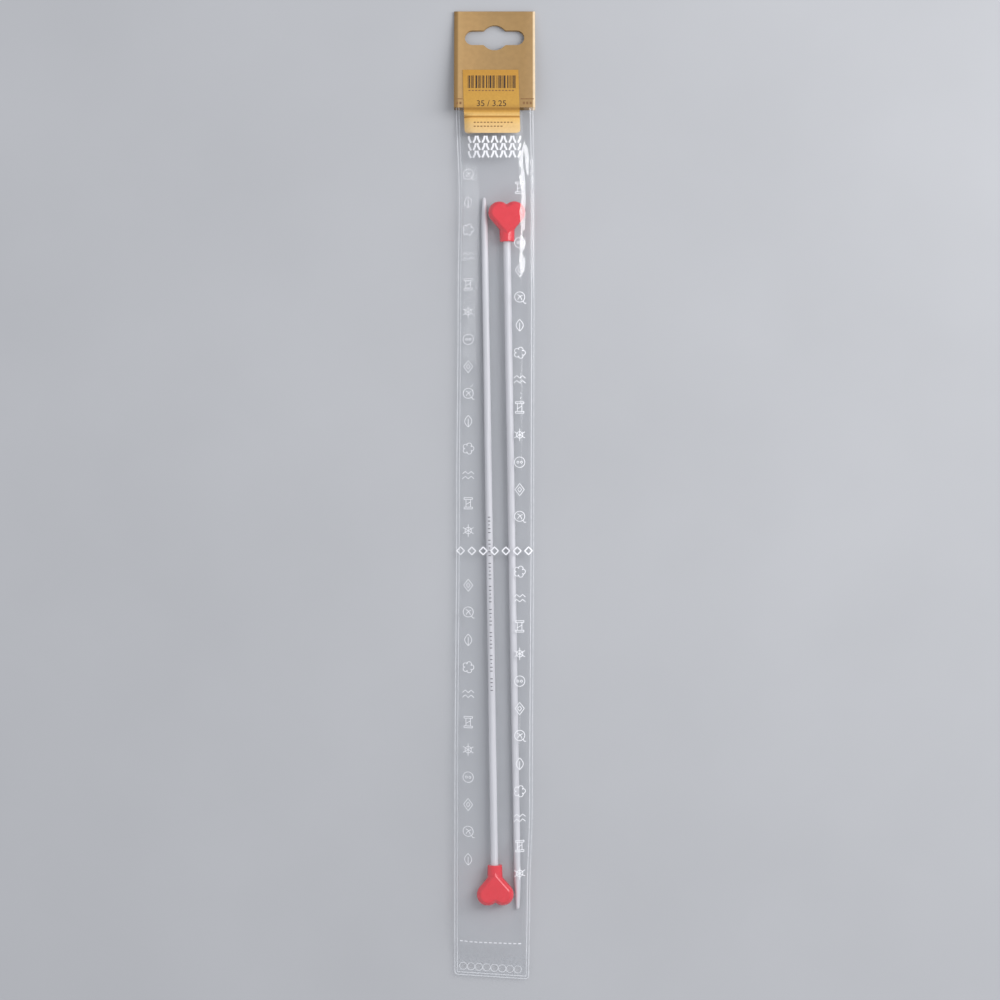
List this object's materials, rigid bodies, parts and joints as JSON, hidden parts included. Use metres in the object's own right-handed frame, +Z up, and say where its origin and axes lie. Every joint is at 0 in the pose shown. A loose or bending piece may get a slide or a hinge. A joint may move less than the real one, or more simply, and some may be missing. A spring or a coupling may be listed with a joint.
{
  "type": "straight knitting needles",
  "caption": "Straight single-point knitting needles with heart-shaped stops, head to tail in a clear welded film pouch with a folded hanging header card and a size sticker.",
  "frame": {"origin": "on the surface that the pouch lies on, under the middle of the whole pack's box", "axes": "+Y along the pack towards the hang slot, +Z up out of the front film, +X to the right seen from above"},
  "size_m": [0.04, 0.48, 0.0102],
  "materials": {
    "grey_coating": "satin light grey coating",
    "red_plastic": "glossy moulded red plastic",
    "clear_film": "clear glossy film",
    "gold_card": "satin gold printed card",
    "gold_paper": "matt gold printed paper"
  },
  "bodies": {
    "pack": {"pouch_back_film": "clear_film", "pouch_front_film": "clear_film", "header_back_panel": "gold_card"},
    "left_needle": {"left_needle_shaft": "grey_coating", "left_heart_stop": "red_plastic"},
    "right_needle": {"right_needle_shaft": "grey_coating", "right_heart_stop": "red_plastic"},
    "header_flap": {"header_front_flap": "gold_card", "size_sticker": "gold_paper"}
  },
  "joints": [
    {"name": "left_needle_slide", "type": "slide", "parent": "pack", "child": "left_needle", "axis": [-0.0161, 0.9999, 0], "range_m": [-0.012, 0.045]},
    {"name": "right_needle_slide", "type": "slide", "parent": "pack", "child": "right_needle", "axis": [-0.0161, 0.9999, 0], "range_m": [-0.014, 0.02]},
    {"name": "flap_hinge", "type": "hinge", "parent": "pack", "child": "header_flap", "pos_m": [0, 0.23923, 0.00075], "axis": [-1, 0, 0], "range_deg": [0, 165]}
  ]
}
